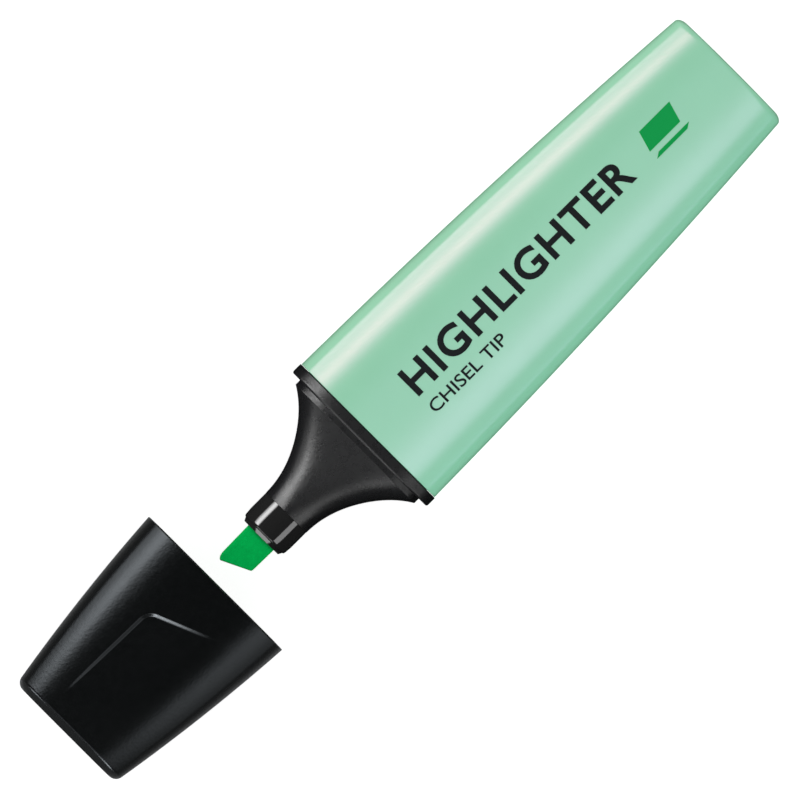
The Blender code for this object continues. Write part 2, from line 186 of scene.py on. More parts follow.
def ring_at(x, half_width, half_thick, power, turns):
    """A ring of points (x, y, z) across the axis."""
    flat = ring(half_width, half_thick, power, turns)
    return np.column_stack([np.full(len(turns), x), flat])


def quarter(steps):
    """Angles from 0 to a quarter turn."""
    return [i / steps * math.pi / 2 for i in range(steps + 1)]


def rounding(radius, from_end):
    """How far an edge with this radius lies inside its corner, at a distance from the end."""
    past = max(radius - from_end, 0.0)
    return radius - math.sqrt(max(radius**2 - past**2, 0.0))


# ---------------------------------------------------------------- materials


def linear(red, green, blue):
    """An 8-bit display colour as linear light."""
    values = []
    for value in (red, green, blue):
        value /= 255
        values.append(value / 12.92 if value <= 0.04045 else ((value + 0.055) / 1.055) ** 2.4)
    return tuple(values)


def scaled(colour, factor):
    return tuple(min(1.0, c * factor) for c in colour)


class Nodes:
    """Short-hand for building one material's node tree."""

    def __init__(self, name):
        self.material = bpy.data.materials.new(name)
        self.material.use_nodes = True
        self.tree = self.material.node_tree
        self.shader = self.tree.nodes["Principled BSDF"]
        coordinates = self.add("ShaderNodeTexCoord")
        scale = self.add("ShaderNodeVectorMath", operation="SCALE")
        scale.inputs["Scale"].default_value = 1 / MM
        self.link(coordinates.outputs["Object"], scale.inputs[0])
        self.millimetres = scale.outputs["Vector"]

    def add(self, kind, **settings):
        node = self.tree.nodes.new(kind)
        for key, value in settings.items():
            setattr(node, key, value)
        return node

    def link(self, source, target):
        self.tree.links.new(source, target)

    def set(self, **values):
        for key, value in values.items():
            self.shader.inputs[key.replace("_", " ")].default_value = value

    def noise(self, scale, detail=3.0, roughness=0.55, stretch=(1.0, 1.0, 1.0)):
        """Noise with scale features to the millimetre, stretched along the axes."""
        mapping = self.add("ShaderNodeMapping")
        mapping.inputs["Scale"].default_value = stretch
        texture = self.add("ShaderNodeTexNoise")
        texture.inputs["Scale"].default_value = scale
        texture.inputs["Detail"].default_value = detail
        texture.inputs["Roughness"].default_value = roughness
        self.link(self.millimetres, mapping.inputs["Vector"])
        self.link(mapping.outputs["Vector"], texture.inputs["Vector"])
        return texture.outputs["Fac"]

    def ranged(self, source, low, high, start=0.3, end=0.7):
        """source from start..end mapped to low..high."""
        node = self.add("ShaderNodeMapRange")
        node.inputs["From Min"].default_value = start
        node.inputs["From Max"].default_value = end
        node.inputs["To Min"].default_value = low
        node.inputs["To Max"].default_value = high
        self.link(source, node.inputs["Value"])
        return node.outputs["Result"]

    def between(self, source, first, second):
        """A colour mixed from first to second by source."""
        node = self.add("ShaderNodeMix", data_type="RGBA")
        node.inputs["A"].default_value = (*first, 1.0)
        node.inputs["B"].default_value = (*second, 1.0)
        self.link(source, node.inputs["Factor"])
        return node.outputs["Result"]

    def bump(self, height, depth_mm, under=None):
        """A relief depth_mm deep, laid over another one where under is given."""
        node = self.add("ShaderNodeBump")
        node.inputs["Distance"].default_value = depth_mm * MM
        node.inputs["Strength"].default_value = 1.0
        self.link(height, node.inputs["Height"])
        if under is not None:
            self.link(under, node.inputs["Normal"])
        return node.outputs["Normal"]

    def finish(self, colour, roughness, normal):
        self.link(colour, self.shader.inputs["Base Color"])
        self.link(roughness, self.shader.inputs["Roughness"])
        self.link(normal, self.shader.inputs["Normal"])
        return self.material


def moulded_plastic(
    name,
    colour,
    rough,
    grain=5.0,
    grain_depth=0.004,
    mottle=0.03,
    specular=0.5,
    tint=(1.0, 1.0, 1.0),
    sheen=0.0,
):
    """Injection-moulded plastic: a fine spark-eroded grain, faint flow mottling in the colour
    and slightly uneven gloss."""
    nodes = Nodes(name)
    cloudy = nodes.ranged(nodes.noise(0.12, 2.0), 0.0, 1.0)
    shade = nodes.between(cloudy, scaled(colour, 1 - mottle), scaled(colour, 1 + mottle))
    gloss = nodes.ranged(nodes.noise(0.9, 3.0), rough * 0.92, rough * 1.08)
    ripple = nodes.bump(nodes.noise(0.25, 1.0), 0.004)
    normal = nodes.bump(nodes.noise(grain, 4.0, 0.65), grain_depth, ripple)
    nodes.set(IOR=1.5, Specular_IOR_Level=specular, Specular_Tint=(*tint, 1.0))
    nodes.set(Sheen_Weight=sheen, Sheen_Roughness=0.4)
    return nodes.finish(shade, gloss, normal)


def felt(name, colour):
    """Bonded fibres that run along the pen, dark where the ink gathers between them."""
    nodes = Nodes(name)
    strands = nodes.noise(7.0, 3.0, 0.6, stretch=(0.12, 1.0, 1.0))
    pores = nodes.noise(9.0, 2.0, 0.5)
    soak = nodes.ranged(nodes.noise(0.35, 2.0), 0.0, 1.0)
    fibres = nodes.ranged(strands, 0.0, 1.0, 0.25, 0.75)
    wet = nodes.between(fibres, scaled(colour, 0.86), scaled(colour, 1.08))
    mix = nodes.add("ShaderNodeMix", data_type="RGBA", blend_type="MULTIPLY")
    mix.inputs["Factor"].default_value = 1.0
    nodes.link(wet, mix.inputs["A"])
    nodes.link(nodes.between(soak, (0.93, 0.93, 0.93), (1.0, 1.0, 1.0)), mix.inputs["B"])
    gloss = nodes.ranged(pores, 0.7, 0.95)
    low = nodes.bump(pores, 0.02)
    nodes.set(Specular_IOR_Level=0.03)
    return nodes.finish(mix.outputs["Result"], gloss, nodes.bump(strands, 0.05, low))


def ink(name, colour):
    """Screen-printed ink: an even film with a faint pinhole texture."""
    nodes = Nodes(name)
    specks = nodes.noise(6.0, 2.0)
    shade = nodes.between(specks, scaled(colour, 0.92), scaled(colour, 1.06))
    gloss = nodes.ranged(nodes.noise(2.0), 0.34, 0.46)
    nodes.set(Specular_IOR_Level=0.1)
    return nodes.finish(shade, gloss, nodes.bump(specks, 0.003))


mint_plastic = moulded_plastic(
    "mint_plastic", (0.274, 0.556, 0.36), 0.2, grain=3.0, grain_depth=0.0008, mottle=0.012,
    specular=1.0, tint=(1.0, 0.5, 0.7)
)
satin_black = moulded_plastic(
    "satin_black", (0.0013, 0.0016, 0.0015), 0.22, grain=2.6, grain_depth=0.02, sheen=0.17
)
matte_black = moulded_plastic(
    "matte_black", (0.0062, 0.0064, 0.0069), 0.28, grain=2.0, grain_depth=0.025
)
gloss_black = moulded_plastic(
    "gloss_black", (0.0085, 0.0085, 0.0085), 0.08, grain=1.5, grain_depth=0.0003
)
liner_black = moulded_plastic(
    "liner_black", (0.02, 0.02, 0.021), 0.4, grain=2.0, grain_depth=0.003
)
green_felt = felt("green_felt", (0.0002, 0.36, 0.064))
ink_fibre = felt("ink_fibre", linear(70, 176, 108))
clear_film = moulded_plastic(
    "clear_film", linear(220, 226, 226), 0.25, grain=1.0, grain_depth=0.002
)
black_ink = ink("black_ink", (0.009, 0.0078, 0.0083))
green_ink = ink("green_ink", (0.0008, 0.26, 0.05))


def finish_piece(piece, material, body, slot, *nodes):
    """Gives a piece its material and its body, and hides the CAD nodes that it stands for. slot is
    not used.
    """
    piece.data.materials.clear()
    piece.data.materials.append(material)
    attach(piece, body)
    if nodes:
        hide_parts(*nodes)


# ---------------------------------------------------------------- barrel


def barrel_half(distance):
    """Half-width and half-thickness at a distance from the barrel's mouth."""
    return drop(BARREL_HALF_WIDTH, distance), drop(BARREL_HALF_THICK, distance)


def make_barrel():
    """A shell from the inside of its closed tail, round the mouth's lip, to the tail's end."""
    turns = even_turns(160)
    tail_wall = 1.8
    tail_round = 0.9  # how long the tail's rounding is
    tail_corner = 1.4  # how far it draws in the width
    tail_edge = 0.5  # how far it draws in the thickness
    tail_crown = 0.15  # how far the tail's end bulges
    lip = 0.06
    rings = []

    def add(distance, depth, up=None):
        """A ring drawn in by depth across the width and by up across the thickness."""
        half_width, half_thick = barrel_half(distance)
        x = BARREL_FRONT_X + distance
        up = depth if up is None else up
        rings.append(ring_at(x, half_width - depth, half_thick - up, SQUARISH, turns))

    for distance in np.linspace(BARREL_LENGTH - tail_wall, 1.0, 16):
        add(distance, WALL)
    add(SEAM / 2, WALL)
    add(SEAM / 2, WALL / 2)
    for angle in quarter(4):
        add(SEAM / 2 + lip * (1 - math.cos(angle)), lip * (1 - math.sin(angle)))
    for distance in np.linspace(0.2, BARREL_LENGTH - tail_round - 0.4, 64):
        add(distance, 0.0)
    for angle in quarter(16):
        from_end = tail_round * (1 - math.sin(angle))
        depth = rounding(tail_round, from_end) * tail_corner / tail_round
        add(BARREL_LENGTH - tail_crown - from_end, depth, rounding(tail_edge, from_end))
    half_width, half_thick = barrel_half(BARREL_LENGTH)
    for share in (0.97, 0.9, 0.78, 0.6, 0.4, 0.2, 0.05):
        x = TAIL_X - tail_crown * share**2
        across, up = (half_width - tail_corner) * share, (half_thick - tail_edge) * share
        rings.append(ring_at(x, across, up, SQUARISH, turns))
    return skin("barrel_shell", rings)


# ---------------------------------------------------------------- printed marks


def barrel_top(x, y):
    """Height of the barrel's upper face above the axis."""
    half_width, half_thick = barrel_half(x - BARREL_FRONT_X)
    return half_thick * (1 - (abs(y) / half_width) ** SQUARISH) ** (1 / SQUARISH)


# How far the print stands over the barrel's face, and how far it reaches into the wall.
PRINT_PROUD = 0.02
PRINT_SUNK = 0.06
# Where the words and strokes stand, in X and Y.
PRINT_LEFT, PRINT_RIGHT = 2.4, 57.2
WORD_LOW, WORD_HIGH = -1.75, 2.82
WORD_RIGHT = 46.4
TIP_WORD_LOW, TIP_WORD_HIGH = -5.15, -3.25
TIP_WORD_RIGHT = 17.0
STROKE_LEFT = 50.2
BROAD_STROKE_LOW = -0.3
FINE_STROKE_HIGH = -1.15


def print_mesh(name, points, polygons):
    """A thin closed slab that follows the barrel's upper face, from flat polygons that are
    listed anticlockwise."""
    verts = []
    for height in (-PRINT_SUNK, PRINT_PROUD):
        verts += [(x, y, barrel_top(x, y) + height) for x, y in points]
    count = len(points)
    lower = [polygon[::-1] for polygon in polygons]
    upper = [[i + count for i in polygon] for polygon in polygons]
    edges = [pair for polygon in polygons for pair in zip(polygon, polygon[1:] + polygon[:1])]
    known = set(edges)
    sides = [(a, b, b + count, a + count) for a, b in edges if (b, a) not in known]
    mesh = bpy.data.meshes.new(name)
    mesh.from_pydata(place(verts).tolist(), [], lower + upper + sides)
    return add_object(name, mesh)


def print_word(name, words, left, right, low, high, weight, tracking):
    """Plain lettering stretched to fill a box on the barrel's upper face. weight thickens the
    letters, and tracking spreads them."""
    text = bpy.data.curves.new(name + "_text", "FONT")
    text.body = words
    text.offset = weight
    text.space_character = tracking
    text.resolution_u = 6
    writer = bpy.data.objects.new(name + "_text", text)
    bpy.context.scene.collection.objects.link(writer)
    bpy.context.view_layer.update()
    evaluated = writer.evaluated_get(bpy.context.evaluated_depsgraph_get())
    flat = bpy.data.meshes.new_from_object(evaluated)
    builder = bmesh.new()
    builder.from_mesh(flat)
    bmesh.ops.remove_doubles(builder, verts=builder.verts, dist=1e-5)
    points = np.array([v.co[:2] for v in builder.verts])
    start, size = points.min(axis=0), np.ptp(points, axis=0)
    points = (points - start) / size * (right - left, high - low) + (left, low)
    builder.verts.index_update()
    polygons = [[v.index for v in face.verts] for face in builder.faces]
    builder.free()
    bpy.data.objects.remove(writer)
    return print_mesh(name, points.tolist(), polygons)


def print_stroke(name, left, right, low, high):
    """A plain slanted bar, as a chisel tip draws it."""
    lean = 0.9
    corners = [(left, low), (right - lean, low), (right, high), (left + lean, high)]
    return print_mesh(name, corners, [(0, 1, 2, 3)])


# ---------------------------------------------------------------- front section


def funnel_half(share):
    """Half-sizes and power of the funnel from the neck at 0 to the rim at 1."""
    wide = 0.887 * share**2 + 0.113 * share**10
    thick = 0.97 * share**2 + 0.03 * share**10
    half_width = NECK_RADIUS + (RIM_HALF[0] - RIM_ROUND - NECK_RADIUS) * wide
    half_thick = NECK_RADIUS + (RIM_HALF[1] - RIM_ROUND - NECK_RADIUS) * thick
    power = 2.0 + 2.2 * share**1.1 - 0.2 * share**8
    return half_width, half_thick, power


def make_front_section():
    """A loop of rings: forwards along the outside of skirt, collar, rim and funnel, and back
    through the inside. A straight ring beside each rounding keeps the flats flat."""
    turns = even_turns(160, bend=0.8)
    rings = []

    def add(x, half_width, half_thick, power=SQUARISH):
        rings.append(ring_at(x, half_width, half_thick, power, turns))

    # The skirt in the barrel, from its end forwards, with a low snap ridge round it.
    skirt_reach = 11.8
    skirt_depth = WALL + 0.3
    section_wall = 1.0
    chamfer = 0.5
    ridge = 0.1
    for distance in (skirt_reach, 11.0, 4.2, 3.8, 3.2, 2.8, 0.2):
        half_width, half_thick = barrel_half(distance)
        proud = ridge if 3.0 < distance < 4.0 else 0.0
        depth = skirt_depth - proud + (chamfer if distance == skirt_reach else 0.0)
        add(BARREL_FRONT_X + distance, half_width - depth, half_thick - depth)
    half_width, half_thick = barrel_half(0.0)
    collar_back_x = BARREL_FRONT_X - SEAM / 2
    add(collar_back_x, half_width - skirt_depth, half_thick - skirt_depth)

    # The collar. Its front bevel is listed as distance behind the front face, and depth.
    back_round = 0.10
    front_bevel = (
        (0.34, 0.0), (0.28, 0.006), (0.22, 0.02), (0.17, 0.045), (0.04, 0.145), (0.01, 0.19),
        (0.0, 0.26),
    )
    for angle in quarter(3):
        depth = back_round * (1 - math.sin(angle))
        x = collar_back_x - back_round * (1 - math.cos(angle))
        add(x, COLLAR_HALF[0] - depth, COLLAR_HALF[1] - depth)
    add(collar_back_x - back_round - 0.04, *COLLAR_HALF)
    add(COLLAR_FRONT_X + 0.4, *COLLAR_HALF)
    for behind, depth in front_bevel:
        add(COLLAR_FRONT_X + behind, COLLAR_HALF[0] - depth, COLLAR_HALF[1] - depth)

    # The snap rim, with a small fillet behind it and a rounded front edge.
    fillet = 0.06
    straight = 0.12
    round_length = 0.07
    rim_front = COLLAR_FRONT_X - RIM_DEPTH
    add(COLLAR_FRONT_X, RIM_HALF[0] + fillet, RIM_HALF[1] + fillet)
    add(COLLAR_FRONT_X - fillet, *RIM_HALF)
    add(COLLAR_FRONT_X - straight, *RIM_HALF)
    add(rim_front + straight, *RIM_HALF)
    for angle in quarter(3):
        depth = RIM_ROUND * (1 - math.cos(angle))
        x = rim_front + round_length * (1 - math.sin(angle))
        add(x, RIM_HALF[0] - depth, RIM_HALF[1] - depth)

    # The funnel, closer near the rim, down to the seam at the neck.
    neck_gap = 0.02
    length = rim_front - NECK_X
    for share in 1 - np.linspace(0.004, 1.0, 72) ** 1.25:
        add(NECK_X + neck_gap + share * (length - neck_gap), *funnel_half(share))

    # The inside: the seat of the nozzle's tail, then the hollow funnel and skirt.
    seat = 3.62
    for x, radius in ((NECK_X + 0.01, 3.98), (NECK_X + 0.01, seat), (NECK_X + 6.0, seat)):
        add(x, radius, radius - 0.1, 2.0)
    for share in (0.62, 0.78, 0.9):
        half_width, half_thick, power = funnel_half(share)
        add(NECK_X + share * length, half_width - section_wall, half_thick - section_wall, power)
    add(COLLAR_FRONT_X + 0.5, RIM_HALF[0] - section_wall, RIM_HALF[1] - section_wall)
    for distance in (1.0, skirt_reach):
        half_width, half_thick = barrel_half(distance)
        depth = skirt_depth + section_wall
        add(BARREL_FRONT_X + distance, half_width - depth, half_thick - depth)
    return skin("grip_section", rings, cyclic=True, smooth_angle=35.0)


def make_nozzle():
    """A loop of rings: back along the outside, over the tail in the neck, and out through the
    bore for the nib."""
    turns = even_turns(128, 4.0, 4.0, 2.0)
    rings = []

    def add(x, half_width, half_thick, power=2.0):
        rings.append(ring_at(x, half_width, half_thick, power, turns))

    # The nose, listed as distance behind the front, and radius.
    bevel = ((0.0, 3.34), (0.01, 3.37), (0.02, 3.39), (0.05, 3.405), (0.3, 3.53), (0.54, 3.65))
    shoulder = (
        (0.58, 3.73), (0.66, 3.84), (0.75, 3.9), (1.0, 3.94), (1.5, 3.98), (2.0, NOZZLE_RADIUS),
    )
    for behind, radius in bevel + shoulder:
        add(NOZZLE_FRONT_X + behind, radius, radius)
    edge = 0.03
    add(NECK_X - edge, NOZZLE_RADIUS, NOZZLE_RADIUS)
    add(NECK_X, NOZZLE_RADIUS - edge, NOZZLE_RADIUS - edge)
    tail = (3.45, 3.4)
    tail_length = 5.5
    add(NECK_X, *tail)
    add(NECK_X + tail_length, *tail)
    bore = (2.80, 1.96, 7.0)
    add(NECK_X + tail_length, *bore)
    add(NOZZLE_FRONT_X + 0.25, *bore)
    add(NOZZLE_FRONT_X + 0.05, bore[0] + 0.1, bore[1] + 0.12, 6.0)
    add(NOZZLE_FRONT_X, bore[0] + 0.22, bore[1] + 0.3, 5.0)
    return skin("nib_holder", rings, cyclic=True, smooth_angle=35.0)


# ---------------------------------------------------------------- nib

NIB_HALF_WIDTH = 2.58
NIB_HALF_THICK = 1.78
NIB_EDGE_HALF_THICK = 1.05
NIB_LENGTH = 32.0
NIB_SLANT = 0.44  # how far the edge falls back for each millimetre across
NIB_WEDGE = 3.2  # how far behind the edge it starts to thin
NIB_TAPER = 0.13  # how much the half-width has narrowed at the edge
NIB_TAPER_START = 7.0
NIB_POWER = 9.0


def nib_front(y):
    """Distance behind the tip at which the slanted edge lies, for each y."""
    tip_width, tip_length, heel_width = 0.58, 1.1, 0.16
    tip_y = NIB_HALF_WIDTH - tip_width
    above = np.clip((y - tip_y) / tip_width, 0, 1)
    arc = tip_length * (1 - np.sqrt(1 - above**2))
    straight = np.maximum(tip_y - y, 0) * NIB_SLANT
    heel = np.clip((heel_width - NIB_HALF_WIDTH - y) / heel_width, 0, 1)
    return arc + straight + heel_width * (1 - np.sqrt(1 - heel**2))


def make_nib():
    """Rings that start square across the tail and lean over to the slanted edge."""
    turns = even_turns(160, NIB_HALF_WIDTH, NIB_HALF_THICK, NIB_POWER, bend=0.6)
    flat = ring(NIB_HALF_WIDTH, NIB_HALF_THICK, NIB_POWER, turns)
    y, z = flat[:, 0], flat[:, 1]
    front = nib_front(y)
    rings = []

    def add(behind, inset=0.0, lean=1.0):
        """A ring this far behind the slanted edge, or behind the tip where lean is 0."""
        x = NIB_TIP_X + behind + front * lean
        wedge = np.clip((NIB_WEDGE - behind) / NIB_WEDGE, 0, 1) ** 1.15
        half = NIB_HALF_THICK - (NIB_HALF_THICK - NIB_EDGE_HALF_THICK) * wedge
        near = np.clip((NIB_TAPER_START - behind) / NIB_TAPER_START, 0, 1)
        narrower = 1 - NIB_TAPER / NIB_HALF_WIDTH * near
        sideways = y * (narrower - 0.5 * inset / NIB_HALF_WIDTH)
        rings.append(np.column_stack([x, sideways, z / NIB_HALF_THICK * (half - inset)]))

    tail_edge = 0.4
    add(NIB_LENGTH, tail_edge, lean=0.0)
    for behind in (NIB_LENGTH - tail_edge, 22.0, 12.0):
        add(behind, lean=0.0)
    for behind in np.linspace(NIB_TAPER_START, 0.24, 30):
        add(behind)
    soft = 0.2
    for angle in quarter(6):
        add(soft * (1 - math.sin(angle)), soft * (1 - math.cos(angle)))
    return skin("felt_nib", rings, smooth_angle=50.0, bridged=True)


# ---------------------------------------------------------------- cap


def cap_half(distance):
    """Half-width and half-thickness at a distance from the cap's mouth."""
    return drop(CAP_HALF_WIDTH, distance), drop(CAP_HALF_THICK, distance)


def cap_top(distance, y):
    """Height of the cap's wide face above the axis, without the thumb mark."""
    half_width, half_thick = cap_half(distance)
    share = np.clip(np.abs(y) / half_width, 0, 1)
    return half_thick * (1 - share**SQUARISH) ** (1 / SQUARISH)


def thumb_depth(distance, y):
    """How far the thumb mark sinks the wide face at a distance from the mouth and at y. Its
    floor is a tilted plane, deepest at the rounded corner, and its two edges are steps."""
    ends = (THUMB_CORNER, THUMB_BACK, THUMB_SIDE)
    corner, back, side = (Vector((*at, float(cap_top(*at)))) for at in ends)
    corner.z -= THUMB_DEPTH
    normal = (back - corner).cross(side - corner)
    slope = (normal.x * (distance - corner.x) + normal.y * (y - corner.y)) / normal.z
    above = cap_top(distance, y) - (corner.z - slope)
    sunk = (above + np.hypot(above, THUMB_FADE)) / 2
    beyond, over = distance - THUMB_CORNER[0], y - THUMB_CORNER[1]
    from_long_edge = (beyond * THUMB_RISE - over) / math.hypot(1, THUMB_RISE)
    from_short_edge = (beyond - over * THUMB_LEAN) / math.hypot(1, THUMB_LEAN)
    short_long = np.maximum(THUMB_ROUND - from_long_edge, 0)
    short_short = np.maximum(THUMB_ROUND - from_short_edge, 0)
    inside = THUMB_ROUND - np.hypot(short_long, short_short)
    step = np.clip(inside / THUMB_WALL + 0.5, 0, 1)
    eased = step * step * (3 - 2 * step)
    return sunk * (0.6 * step + 0.4 * eased)


def cap_columns():
    """Places across the top face from +Y to -Y: shares of the half-width near the sides, and
    millimetres over the thumb mark, closer along its long edge."""
    turns = even_turns(200)
    shares = np.cos(turns[turns < math.pi / 2]) ** (2 / SQUARISH)
    outer = shares[shares > 0.66]
    close = np.arange(4.4, 2.6, -0.07)
    inner = np.concatenate([np.arange(5.8, 4.5, -0.4), close, np.arange(2.4, -6.2, -0.4)])
    return outer, inner


def cap_ring(nominal, marked=True):
    """One ring of the cap's outside. A marked ring has the thumb mark sunk into it, and leans
    along the mark's short edge. The lower half is the upper one turned over."""
    outer, inner = cap_columns()
    share = np.interp(nominal, (1.5, 9.2, 11.4, 26.0), (0.0, 1.0, 1.0, 0.0)) if marked else 0.0
    lean = np.clip(inner - THUMB_CORNER[1], THUMB_SIDE[1] - THUMB_CORNER[1], 0) * THUMB_LEAN
    after = np.linspace(lean[-1], 0, len(outer) + 3)
    lean = np.concatenate([np.zeros(len(outer) + 2), lean, after[:-1]])
    distance = (nominal + lean * share)[:-1]
    half_width, half_thick = cap_half(distance)
    first = half_width[: len(outer)] * outer
    last = -half_width[1 - len(outer) :] * outer[:0:-1]
    blend = np.array([1, 2]) / 3
    slanted = inner + (nominal - THUMB_CORNER[0]) * THUMB_RISE
    before = first[-1] + (slanted[0] - first[-1]) * blend
    behind = slanted[-1] + (last[0] - slanted[-1]) * blend
    y = np.concatenate([first, before, slanted, behind, last])
    z = cap_top(distance, y)
    if marked:
        z = z - thumb_depth(distance, y)
    upper = np.column_stack([CAP_MOUTH_X - distance, y, z])
    return np.concatenate([upper, upper * (1.0, -1.0, -1.0)])


def shrunk(points, depth, extra=0.0):
    """A ring drawn in by depth all round, and by extra more across the thickness."""
    across = points[:, 1].max()
    up = points[:, 2].max()
    return points * (1.0, 1 - depth / across, 1 - (depth + extra) / up)


def cap_extra(distance):
    """The wide walls are thicker behind the thumb marks."""
    rise = np.clip((distance - 2.5) / 3.0, 0, 1)
    fall = np.clip((distance - 15.0) / 6.0, 0, 1)
    return 0.8 * (rise - fall)


def make_cap():
    """A shell from the inside of its closed end, round the mouth's lip, over the marked faces,
    to the end face. The end's rounding runs into a bevel on the two wide faces."""
    end_round, end_wall, lip = 1.1, 1.5, 0.1
    end_soft, end_slope = 0.12, 1.2
    rings = []

    def add(distance, depth, extra=0.0):
        """An unmarked ring, drawn in as shrunk() says."""
        rings.append(shrunk(cap_ring(distance, marked=False), depth, extra))

    for distance in (CAP_LENGTH - end_wall, 24.0, 21.0, 18.0, 15.0, 12.0, 9.0, 7.0, 5.5, 4.0, 2.5):
        add(distance, WALL, cap_extra(distance))
    bead = ((2.2, 0.0), (2.0, 0.11), (1.8, 0.14), (1.6, 0.11), (1.4, 0.0), (0.25, 0.0))
    for distance, height in bead:
        add(distance, WALL + height)
    add(0.0, WALL - lip)
    for angle in quarter(5):
        add(lip * (1 - math.cos(angle)), lip * (1 - math.sin(angle)))
    near = np.arange(0.6, 9.1, 0.42)
    close = np.arange(9.25, 11.2, 0.065)
    far = np.arange(11.4, CAP_LENGTH - end_round - 0.2, 0.3)
    rings += [cap_ring(distance) for distance in np.concatenate([near, close, far])]
    for angle in quarter(14):
        past = end_round * math.sin(angle)
        depth = rounding(end_round, end_round - past)
        eased = past**2 / (2 * end_soft) if past < end_soft else past - end_soft / 2
        bevel = end_slope * eased
        add(CAP_LENGTH - end_round + past, depth, bevel - depth)
    edge = rings[-1]
    for share in (0.97, 0.9, 0.75, 0.5, 0.25, 0.05):
        rings.append(edge * (1.0, share, share))
    return skin("cap_shell", rings)


def make_cap_liner():
    """A thimble, closed at its toe, whose profile is listed as distance from the cap's mouth and
    radius: forwards along the outside, and back through the bore."""
    turns = even_turns(96, 4.0, 4.0, 2.0)
    mouth = CAP_MOUTH_X - liner_box[1].x / MM
    toe = CAP_MOUTH_X - liner_box[0].x / MM
    bore, wall, toe_bore, step_at = NOZZLE_RADIUS + 0.15, 0.65, 3.5, 20.6
    profile = [
        (toe, toe_bore + wall - 0.4),
        (toe - 0.12, toe_bore + wall - 0.12),
        (toe - 0.4, toe_bore + wall),
        (step_at + 1.1, toe_bore + wall),
        (step_at + 0.3, bore + wall),
        (mouth + 0.15, bore + wall),
        (mouth, bore + wall - 0.12),
        (mouth, bore + 0.4),
        (mouth + 0.25, bore + 0.2),
        (mouth + 0.9, bore),
        (step_at, bore),
        (step_at + 0.7, toe_bore),
        (toe - wall, toe_bore),
    ]
    rings = [ring_at(CAP_MOUTH_X - at, radius, radius, 2.0, turns) for at, radius in profile]
    return skin("inner_cap", rings, smooth_angle=30.0)


# ---------------------------------------------------------------- the object

barrel = make_barrel()
section = make_front_section()
nozzle = make_nozzle()
nib = make_nib()
cap = make_cap()
liner = make_cap_liner()
finish_piece(barrel, mint_plastic, "barrel", "barrel_plastic", "barrel")
finish_piece(section, matte_black, "barrel", "section_plastic", "front_section")
finish_piece(nozzle, gloss_black, "barrel", "nozzle_plastic", "nozzle")
finish_piece(nib, green_felt, "barrel", "felt", "nib")
finish_piece(cap, satin_black, "cap", "cap_plastic", "cap")
finish_piece(liner, liner_black, "cap", "liner_plastic", "cap_liner")

prints = [
    print_word(
        "printed_word", "HIGHLIGHTER", PRINT_LEFT, WORD_RIGHT, WORD_LOW, WORD_HIGH,
        weight=0.025, tracking=1.1
    ),
    print_word(
        "printed_tip_word", "CHISEL TIP", PRINT_LEFT, TIP_WORD_RIGHT, TIP_WORD_LOW, TIP_WORD_HIGH,
        weight=0.01, tracking=1.0
    ),
    print_stroke("printed_broad_stroke", STROKE_LEFT, PRINT_RIGHT, BROAD_STROKE_LOW, WORD_HIGH),
    print_stroke("printed_fine_stroke", STROKE_LEFT, PRINT_RIGHT, WORD_LOW, FINE_STROKE_HIGH),
]
for piece, material in zip(prints, (black_ink, black_ink, green_ink, green_ink)):
    finish_piece(piece, material, "barrel", None)

for node, material in (("reservoir_core", ink_fibre), ("reservoir_wrap", clear_film)):
    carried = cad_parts[node]
    carried.data.materials.clear()
    carried.data.materials.append(material)


# ---------------------------------------------------------------- studio


def make_floor():
    """A pale table that glows a little, like a light table, so that shadows stay faint."""
    nodes = Nodes("pale_floor")
    shade = nodes.between(nodes.noise(0.004, 2.0), (0.93, 0.93, 0.93), (0.95, 0.95, 0.95))
    nodes.set(Specular_IOR_Level=0.1, Emission_Color=(1.0, 1.0, 1.0, 1.0), Emission_Strength=0.8)
    gloss = nodes.ranged(nodes.noise(0.05), 0.8, 0.9)
    material = nodes.finish(shade, gloss, nodes.bump(nodes.noise(0.5), 0.002))
    mesh = bpy.data.meshes.new("floor")
    reach = 3.0
    corners = [(-reach, -reach, 0), (reach, -reach, 0), (reach, reach, 0), (-reach, reach, 0)]
    mesh.from_pydata(corners, [], [(0, 1, 2, 3)])
    mesh.materials.append(material)
    floor = add_object("floor", mesh)
    just_below = 0.02 * MM
    floor.location.z = -just_below
    floor.visible_glossy = False


